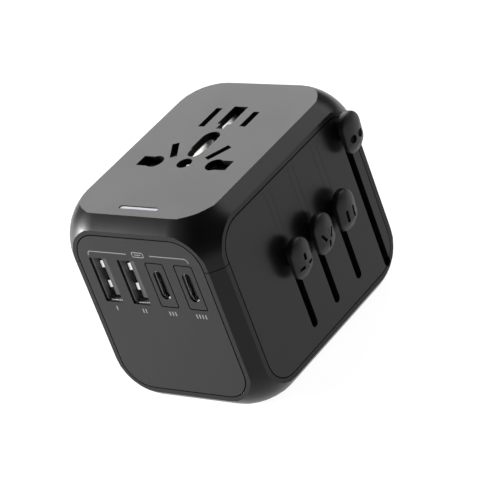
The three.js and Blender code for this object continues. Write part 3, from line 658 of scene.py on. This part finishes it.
for number in (1, 2):
    x, y, z = span(f"usb_a_shell_{number}")
    middle_x = sum(x) / 2
    front, tab_front = -half_y + SHELL_INSET, -half_y + TAB_INSET
    shell = block(f"usb_a_shell_{number}_tube", (middle_x - 2.72, middle_x + 2.72), (front, y[1]),
                  (z[0] + 0.08, z[1] - 0.08))
    round_edges(shell, lies_along(1), 0.5, 4)
    bore = block("bore", (middle_x - 2.5, middle_x + 2.5), (front - 1, y[1] + 1), (z[0] + 0.2, z[1] - 0.28))
    holes = [block("hole", (x[0] - 1, x[1] + 1), (tab_front - 0.3, tab_front + 3), (up - 1.45, up + 1.3))
             for up in TAB_HEIGHTS]
    combine(shell, [round_edges(bore, lies_along(1), 0.25, 3), *holes])
    soften(shell, 0.03)
    hand_over(shell, nickel_steel, "housing", "steel", f"usb_a_shell_{number}")
    tabs = join(*(sprung_tab(middle_x - side * 2.55, side, tab_front, (up - 1.05, up + 1.05))
                  for side in (1, -1) for up in TAB_HEIGHTS))
    tabs.name = f"usb_a_springs_{number}"
    soften(tabs, 0.04)
    # The tabs get the paler copy of the tube's steel, a painted highlight.
    hand_over(tabs, tab_nickel_painted_highlight, "housing", "steel")
    x, y, z = span(f"usb_a_tongue_{number}")
    blade_x = (x[1] - 2.5, x[1] - 0.36)
    tongue = join(block(f"usb_a_tongue_{number}_moulding", x, (-22, y[1]), z),
                  block("blade", blade_x, (-half_y + 1.5, -21), (z[0] + 0.4, z[1] - 0.4)))
    soften(tongue, 0.15)
    hand_over(tongue, tongue_plastic, "housing", "inner_plastic", f"usb_a_tongue_{number}")
    middle_z = sum(z) / 2
    strips = [block("strip", (blade_x[0] - 0.12, blade_x[0] + 0.1), (y[0] + 1.2, -22.1),
                    (middle_z + up - 0.5, middle_z + up + 0.5)) for up in (-3.5, -1.1, 1.1, 3.5)]
    contacts = soften(join(*strips), 0.05)
    contacts.name = f"usb_a_contacts_{number}"
    hand_over(contacts, gilt, "housing", "brass")

# The USB-C sockets: a plastic surround flush with the panel, a deep-drawn steel shell with round
# ends just inside it, and a thin black tongue with contacts on both faces.
BEZEL_HALF_WIDE, BEZEL_HALF_HIGH = 2.68, 6.38


def with_round_ends(name, middle, half_wide, half_high, reach):
    """A block with half-round ends, reaching between two depths behind the front panel's face."""
    x, z = middle
    piece = block(name, (x - half_wide, x + half_wide), reach, (z - half_high, z + half_high))
    return round_edges(piece, lies_along(1), half_wide * FULL_ROUND, 10)


for number in (1, 2):
    x, y, z = span(f"usb_c_bezel_{number}")
    middle_x, middle_z = middle = sum(x) / 2, sum(z) / 2
    bezel = block(f"usb_c_surround_{number}", (middle_x - BEZEL_HALF_WIDE, middle_x + BEZEL_HALF_WIDE), y,
                  (middle_z - BEZEL_HALF_HIGH, middle_z + BEZEL_HALF_HIGH))
    round_edges(bezel, lies_along(1), 0.5, 5)
    combine(bezel, [with_round_ends("mouth", middle, 1.42, 4.22, (y[0] - 1, y[1] + 1))])
    soften(bezel, 0.12)
    hand_over(bezel, panel_plastic, "housing", "panel_plastic", f"usb_c_bezel_{number}")
    _, y, _ = span(f"usb_c_shell_{number}")
    shell = with_round_ends(f"usb_c_shell_{number}_tube", middle, 1.4, 4.2, (y[0] + 0.15, y[1]))
    combine(shell, [with_round_ends("bore", middle, 1.12, 3.92, (y[0] - 1, y[1] + 1))])
    soften(shell, 0.05)
    hand_over(shell, polished_steel, "housing", "steel", f"usb_c_shell_{number}")
    _, y, _ = span(f"usb_c_tongue_{number}")
    tongue = with_round_ends(f"usb_c_tongue_{number}_moulding", middle, 0.9, 3.75, (-24, y[1]))
    join(tongue, block("blade", (middle_x - 0.35, middle_x + 0.35), (y[0], -23.5),
                       (middle_z - 3.3, middle_z + 3.3)))
    soften(tongue, 0.1)
    hand_over(tongue, black_plastic, "housing", "inner_plastic", f"usb_c_tongue_{number}")
    strips = [block("strip", sorted((middle_x + side * 0.33, middle_x + side * 0.4)), (y[0] + 0.8, -25),
                    (middle_z + up * 0.5 - 0.13, middle_z + up * 0.5 + 0.13))
              for side in (-1, 1) for up in range(-5, 6)]
    contacts = join(*strips)
    contacts.name = f"usb_c_contacts_{number}"
    hand_over(contacts, gilt, "housing", "brass")

# The earth contact: two pairs of sprung nickel-plated leaves on one strip, folded from sheet. Their
# tops flare open just under the socket face, so that a pin finds its way in.
x, y, z = span("earth_contact")
nickel = sheet_metal("nickel_plate", (0.9, 0.89, 0.87, 1), 0.42)
LEAF_THICK, LEAF_FLARE = 0.3, 0.72


def flared_leaf(side, inner, y):
    """One leaf with a flared top, its inner face at the given distance from the middle."""
    leaf = block("leaf", sorted((side * inner, side * (inner + LEAF_THICK))), y, (z[0], z[1]))
    pick_edges(leaf, lies_along(2))
    bpy.ops.mesh.subdivide(number_cuts=15)
    bpy.ops.object.mode_set(mode="OBJECT")
    pick_faces(leaf, lambda place, normal: normal.z > 0.9)
    bpy.ops.transform.translate(value=(side * LEAF_FLARE * MM, 0, 0))
    bpy.ops.object.mode_set(mode="OBJECT")
    return leaf


leaves = [flared_leaf(side, 2.1, (-4, 7.8)) for side in (-1, 1)]
leaves += [flared_leaf(side, 2.05, (9.4, 19.4)) for side in (-1, 1)]
earth = join(block("earth_contact_leaves", (-2.7, 2.7), (-4, 19.4), (z[0], z[0] + 0.6)), *leaves)
soften(earth, 0.06)
hand_over(earth, nickel, "housing", "nickel", "earth_contact")

# The safety shutters: a grey plastic plate over the openings of each pole, with cut-outs that come
# under the openings when a plug pushes it aside. A coil spring on its lug pushes it back.
shutter_plastic = moulded("shutter_grey", (0.075, 0.075, 0.077, 1), 0.5, grain=0.3, depth=0.004)
SHUTTER_THICK = 1.6
SHIFT_X, SHIFT_Y = 2.4, 5.0  # how far a cut-out lies from its opening when the shutter is closed
for pole, side in (("live", 1), ("neutral", -1)):
    x, y, z = span(f"{pole}_shutter")
    plate = block(f"{pole}_shutter_plate", x, y, (z[1] - SHUTTER_THICK, z[1]))
    round_edges(plate, lies_along(2), 0.8, 5)
    straight_x, slanted_x, round_x, flat_x = (side * (at + SHIFT_X)
                                              for at in (STRAIGHT_X, SLANTED_X, ROUND_X, FLAT_X))
    straight_y, straight_half = 13.9 + SHIFT_Y, 3.5 if side > 0 else 4.45
    combine(plate, [
        socket_block((straight_x - 1.05, straight_x + 1.05),
                     (straight_y - straight_half, straight_y + straight_half)),
        socket_block((slanted_x - 1, slanted_x + 1), (-4.9 + SHIFT_Y, 2 + SHIFT_Y), turn=-SLANT * side),
        socket_round(round_x, ROUND_Y + SHIFT_Y, 2.65),
        socket_block((flat_x - 3, flat_x + 3), (-9 + SHIFT_Y, -4.6 + SHIFT_Y)),
    ])
    lug = block("lug", (side * 12 - 1, side * 12 + 1), (y[0], y[0] + 0.9),
                (z[0], z[1] - SHUTTER_THICK + 0.3))
    join(plate, lug)
    soften(plate, 0.15)
    hand_over(plate, shutter_plastic, f"{pole}_shutter", "shutter_plastic", f"{pole}_shutter")


def finish_cad(material, *nodes):
    """Gives these CAD pieces, which are shown as they are, their material."""
    for node in nodes:
        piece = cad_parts[node]
        if not piece.material_slots:
            piece.data.materials.append(material)
        for place in piece.material_slots:
            place.material = material


finish_cad(nickel_steel, "live_shutter_spring", "neutral_shutter_spring")

# The contacts of the two poles: brass strips with sprung leaves beside each opening, punched and
# folded. They lie on a moulded tray of pale plastic, and two brass rails take the current down.
brass = sheet_metal("brass", (0.72, 0.52, 0.24, 1), 0.3)
tray_plastic = moulded("tray_ivory", (0.62, 0.58, 0.5, 1), 0.45, grain=0.4, depth=0.004)
STRIP_THICK, TRAY_THICK = 0.6, 1.8
LEAF_PLAN = [  # the (low, high) of each leaf outwards from the middle, then along the adapter
    ((7.9, 8.5), (9.6, 18.2)),
    ((8, 14.2), (-10.6, -10)),
    ((10, 10.6), (-2.6, 1.4)),
    ((14, 14.6), (-8.6, -5)),
]
for pole, side in (("live", 1), ("neutral", -1)):
    _, _, z = span(f"{pole}_contact")
    parts = [block(f"{pole}_contact_strip", sorted((side * 5.2, side * 14.6)), (-10.6, 18.6),
                   (z[0], z[0] + STRIP_THICK))]
    parts += [block("leaf", sorted(side * at for at in across), along, (z[0], z[1]))
              for across, along in LEAF_PLAN]
    strip = soften(join(*parts), 0.12)
    hand_over(strip, brass, "housing", "brass", f"{pole}_contact")
    x, y, z = span(f"{pole}_rail")
    rail = soften(block(f"{pole}_rail_strip", x, y, z), 0.15)
    hand_over(rail, brass, "housing", "brass", f"{pole}_rail")
x, y, z = span("contact_tray")
tray = join(block("contact_tray_moulding", x, (y[0], 16), (z[0], z[0] + TRAY_THICK)),
            block("tray_end", (-16.5, 16.5), (15.5, y[1]), (z[0], z[0] + TRAY_THICK)),
            block("tray_rib", (-4.7, -3.9), (-4, 20), (z[0] + 1.5, z[1])),
            block("tray_rib", (3.9, 4.7), (-4, 20), (z[0] + 1.5, z[1])))
soften(tray, 0.25)
hand_over(tray, tray_plastic, "housing", "tray_plastic", "contact_tray")

# The UK pins: square brass with a chamfered tip and a black sleeve on the half nearest the plug.
# The earth pin is plastic, since it only opens the shutters of a wall socket.
SLEEVE_LOW, SLEEVE_END, SLEEVE_THICK = 10.0, 8.0, 0.3  # SLEEVE_END is how far it stops short of the top
for side in ("left", "right"):
    node = f"uk_pin_{side}"
    x, y, z = span(node)
    pin = block(f"{node}_brass", x, y, z)
    round_edges(pin, lambda a, b: max(a.z, b.z) < z[0] + 0.01, 0.9, 4)
    neck = block("neck", (x[0] - 1, x[1] + 1), (y[0] - 1, y[1] + 1), (SLEEVE_LOW, z[1] - SLEEVE_END))
    core = block("core", (x[0] + SLEEVE_THICK, x[1] - SLEEVE_THICK),
                 (y[0] + SLEEVE_THICK, y[1] - SLEEVE_THICK), (SLEEVE_LOW - 1, z[1] - SLEEVE_END + 1))
    combine(neck, [core])
    combine(pin, [neck])
    soften(pin, 0.2)
    hand_over(pin, brass, "uk_slider", "brass", node)
    sleeve = block(f"{node}_sleeve", x, y, (SLEEVE_LOW, z[1] - SLEEVE_END))
    wall = SLEEVE_THICK + 0.01
    bore = block("bore", (x[0] + wall, x[1] - wall), (y[0] + wall, y[1] - wall), (SLEEVE_LOW - 1, z[1]))
    combine(sleeve, [bore])
    soften(sleeve, 0.12)
    hand_over(sleeve, black_plastic, "uk_slider", "inner_plastic")
x, y, z = span("uk_earth_pin")
earth_pin = block("uk_earth_pin_moulding", x, y, z)
round_edges(earth_pin, lambda a, b: max(a.z, b.z) < z[0] + 0.01, 1.1, 4)
soften(earth_pin, 0.25)
hand_over(earth_pin, black_plastic, "uk_slider", "inner_plastic", "uk_earth_pin")

# The blades: nickel-plated strip with rounded tips. The Australian pair stands at 30 degrees, and
# the American pair has a round hole near the tip of each.
BLADE_WIDE = 6.35
TIP_HOLE_RADIUS, TIP_HOLE_UP = 1.55, 3.6


def blade(name, node, thick, turn):
    """A blade between its CAD node's heights, its tip rounded across its width, turned in degrees."""
    x, y, z = span(node)
    middle_x, middle_y = sum(x) / 2, sum(y) / 2
    strip = block(name, (middle_x - thick / 2, middle_x + thick / 2),
                  (middle_y - BLADE_WIDE / 2, middle_y + BLADE_WIDE / 2), z)
    round_edges(strip, lambda a, b: abs(a.x - b.x) > 0.1 and max(a.z, b.z) < z[0] + 0.01,
                BLADE_WIDE * 0.3, 6)
    return turn_in_place(strip, 2, turn)


for side, name in ((-1, "left"), (1, "right")):
    strip = blade(f"aus_blade_{name}_strip", f"aus_blade_{name}", 1.6, -SLANT * side)
    soften(strip, 0.15)
    hand_over(strip, nickel, "aus_slider", "nickel", f"aus_blade_{name}")
    strip = blade(f"us_blade_{name}_strip", f"us_blade_{name}", 1.5, 0)
    x, y, z = span(f"us_blade_{name}")
    bpy.ops.object.select_all(action="DESELECT")
    bpy.ops.mesh.primitive_cylinder_add(
        vertices=32, radius=TIP_HOLE_RADIUS * MM, depth=6 * MM, rotation=(0, radians(90), 0),
        location=Vector((sum(x) / 2, sum(y) / 2, z[0] + TIP_HOLE_UP)) * MM)
    bpy.ops.object.transform_apply(location=True, rotation=True, scale=True)
    combine(strip, [bpy.context.object])
    soften(strip, 0.15)
    hand_over(strip, nickel, "us_slider", "nickel", f"us_blade_{name}")

# The European plug: a black body as wide as a wall socket's recess, and two round nickel-plated
# pins with domed tips and a black sleeve next to the body.
EU_PIN_X, EU_PIN_RADIUS, EU_SLEEVE_UP = 9.5, 2.4, 9.0
EU_HALF_WIDE, EU_CORNER, EU_HEAD_LOW = 13.5, 3.99, 43.2
x, y, z = span("eu_plug_body")
middle_y = sum(y) / 2
block_low, block_high = z
plug = block("eu_plug_moulding", (-EU_HALF_WIDE, EU_HALF_WIDE), y, z)
round_edges(plug, lies_along(2), EU_CORNER, 10)
head = block("head", (10, x[1]), (middle_y - 3, middle_y + 1.8), (EU_HEAD_LOW, block_high))
combine(plug, [head], "UNION")
_, stem_y, stem_z = span("eu_knob")
stem_mid = sum(stem_z) / 2
combine(plug, [block("pocket", (x[1] - 3, x[1] + 1), (sum(stem_y) / 2 - 1.15, sum(stem_y) / 2 + 1.15),
                     (stem_mid - 2.8, stem_mid + 2.8))])
for side in (-1, 1):
    combine(plug, [round_bar("pin_hole", 2.7, block_low - 1, block_low + 9, side * EU_PIN_X, middle_y)])
soften(plug, 0.3)
hand_over(plug, black_plastic, "eu_slider", "inner_plastic", "eu_plug_body")
for side, name in ((-1, "left"), (1, "right")):
    node = f"eu_pin_{name}"
    _, _, z = span(node)
    pin_x, sleeve_low = side * EU_PIN_X, z[0] + EU_SLEEVE_UP
    pin = round_bar(f"{node}_bar", EU_PIN_RADIUS, z[0], z[1], pin_x, middle_y, 1.9)
    groove = round_bar("groove", 4, sleeve_low, block_low + 2, pin_x, middle_y)
    combine(groove, [round_bar("core", 2.05, z[0], block_low + 4, pin_x, middle_y)])
    combine(pin, [groove])
    soften(pin, 0.12)
    hand_over(pin, nickel, "eu_slider", "nickel", node)
    sleeve = round_bar(f"{node}_sleeve", 2.35, sleeve_low, block_low + 2, pin_x, middle_y)
    combine(sleeve, [round_bar("core", 2.06, z[0], block_low + 4, pin_x, middle_y)])
    soften(sleeve, 0.1)
    hand_over(sleeve, black_plastic, "eu_slider", "inner_plastic")

# The three carriers: black plastic slides inside the housing, each moulded round its own pins and
# pushed by its knob's stem. They are shown as the CAD model has them.
finish_cad(black_plastic, "uk_carrier", "aus_carrier", "us_carrier")

# The casing screws: zinc-plated steel, driven from below through the lower casing's four bosses.
# Their pan heads have a cross recess.
HEAD_RADIUS, HEAD_HIGH, SHANK_RADIUS, RECESS_DEEP = 1.7, 2.0, 0.88, 0.9
zinc = sheet_metal("zinc_plate", (0.62, 0.63, 0.65, 1), 0.3)
for number in (1, 2, 3, 4):
    node = f"casing_screw_{number}"
    x, y, z = span(node)
    middle_x, middle_y = sum(x) / 2, sum(y) / 2
    screw = round_bar(f"{node}_steel", HEAD_RADIUS, z[0], z[0] + HEAD_HIGH, middle_x, middle_y, 0.5)
    shank = round_bar("shank", SHANK_RADIUS, z[0] + HEAD_HIGH - 0.5, z[1], middle_x, middle_y)
    combine(screw, [shank], "UNION")
    recess = [block("recess", (middle_x - a, middle_x + a), (middle_y - b, middle_y + b),
                    (z[0] - 1, z[0] + RECESS_DEEP))
              for a, b in ((0.95, 0.2), (0.2, 0.95))]
    combine(screw, recess)
    soften(screw, 0.06)
    hand_over(screw, zinc, "housing", "steel", node)

# The USB supply: a green circuit board with a transformer, two capacitors and the mains fuse in
# its spring clips, and the small board of the power light under the socket face.
solder_mask = moulded("green_solder_mask", (0.02, 0.13, 0.06, 1), 0.35, grain=0.6, depth=0.01, gloss=0.5)
for node in ("usb_board", "led_board"):
    board = soften(block(f"{node}_laminate", *span(node)), 0.1)
    hand_over(board, solder_mask, "housing", "circuit_board", node)
ferrite = moulded("ferrite", (0.03, 0.03, 0.032, 1), 0.7, grain=0.3, depth=0.02)
winding_tape = moulded("winding_tape", (0.75, 0.5, 0.08, 1), 0.35, grain=1.5, depth=0.01, gloss=0.5)
can_sleeve = moulded("capacitor_sleeve", (0.015, 0.018, 0.03, 1), 0.3, grain=0.8, depth=0.004, gloss=0.5)
ceramic = moulded("fuse_ceramic", (0.72, 0.7, 0.64, 1), 0.35, grain=0.2, depth=0.003, gloss=0.5)
finish_cad(ferrite, "transformer_core")
finish_cad(winding_tape, "transformer_winding")
for node in ("mains_capacitor", "output_capacitor"):
    x, y, z = span(node)
    radius = (x[1] - x[0]) / 2
    can = round_bar(f"{node}_can", radius, 0, y[1] - y[0], 0, 0)
    round_edges(can, lambda a, b: max(a.z, b.z) < 0.01, 0.5, 4)
    pick_faces(can, lambda place, normal: normal.z < -0.9 and place.z < 0.01)
    bpy.ops.mesh.inset(thickness=0.7 * MM)
    bpy.ops.transform.translate(value=(0, 0, 0.25 * MM))
    bpy.ops.object.mode_set(mode="OBJECT")
    can.data.transform(Matrix.Rotation(radians(-90), 4, "X"))
    can.data.transform(Matrix.Translation(Vector((sum(x) / 2, y[0], sum(z) / 2)) * MM))
    soften(can, 0.08)
    hand_over(can, can_sleeve, "housing", "sleeve", node)
x, y, z = span("fuse")
fuse_r = (z[1] - z[0]) / 2
END_CAP = 5.0
fuse_body = round_bar("fuse_body", fuse_r - 0.12, x[0] + 0.5, x[1] - 0.5, 0, 0)
end_caps = join(round_bar("fuse_end_caps", fuse_r, x[0], x[0] + END_CAP, 0, 0),
                round_bar("cap", fuse_r, x[1] - END_CAP, x[1], 0, 0))
for part in (fuse_body, end_caps):
    part.data.transform(Matrix.Rotation(radians(90), 4, "Y"))
    part.data.transform(Matrix.Translation(Vector((0, sum(y) / 2, sum(z) / 2)) * MM))
    soften(part, 0.15)
hand_over(fuse_body, ceramic, "housing", "fuse_ceramic", "fuse")
hand_over(end_caps, nickel_steel, "housing", "steel")
finish_cad(nickel_steel, "fuse_clip_left", "fuse_clip_right")
